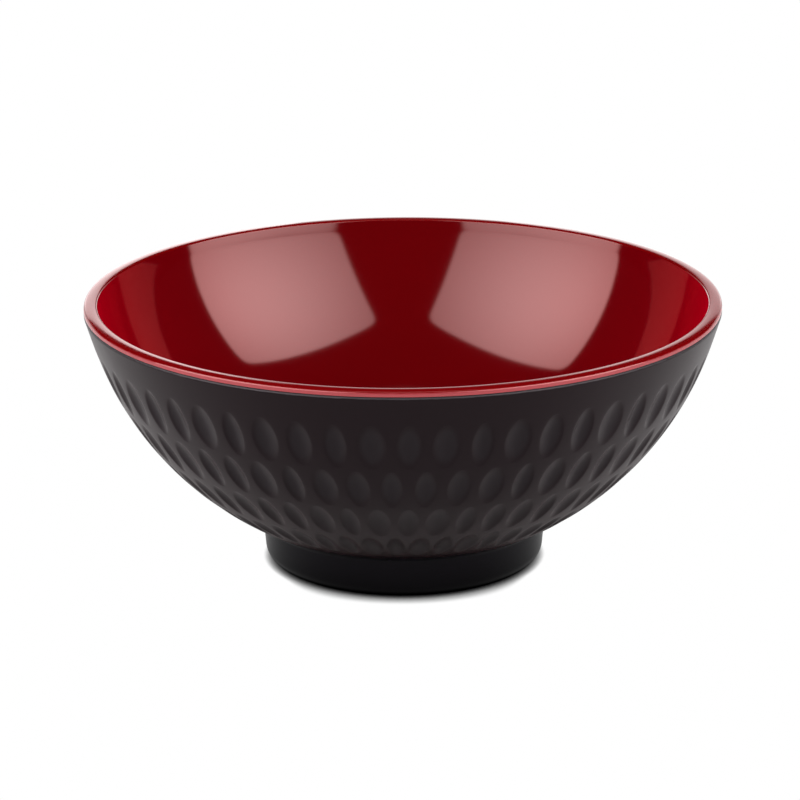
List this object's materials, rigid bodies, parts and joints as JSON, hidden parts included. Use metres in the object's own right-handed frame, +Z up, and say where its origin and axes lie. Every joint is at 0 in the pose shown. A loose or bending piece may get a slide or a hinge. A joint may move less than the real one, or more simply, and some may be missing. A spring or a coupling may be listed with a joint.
{
  "type": "serving bowl",
  "caption": "Round two-tone melamine serving bowl: glossy red liner and rim bonded in a matte black shell with staggered scooped dimples, on a moulded foot ring.",
  "frame": {"origin": "on the bowl's axis, at the level of the foot's underside", "axes": "+Z up along the bowl's axis, towards the mouth; X and Y across it, a dimple of the top row facing -Y"},
  "size_m": [0.205, 0.205, 0.087],
  "materials": {
    "black_melamine": "matte to satin moulded melamine, warm black",
    "red_melamine": "glossy moulded melamine, deep lacquer red"
  },
  "bodies": {
    "root": {"outer_shell": "black_melamine", "inner_liner": "red_melamine"}
  },
  "joints": []
}
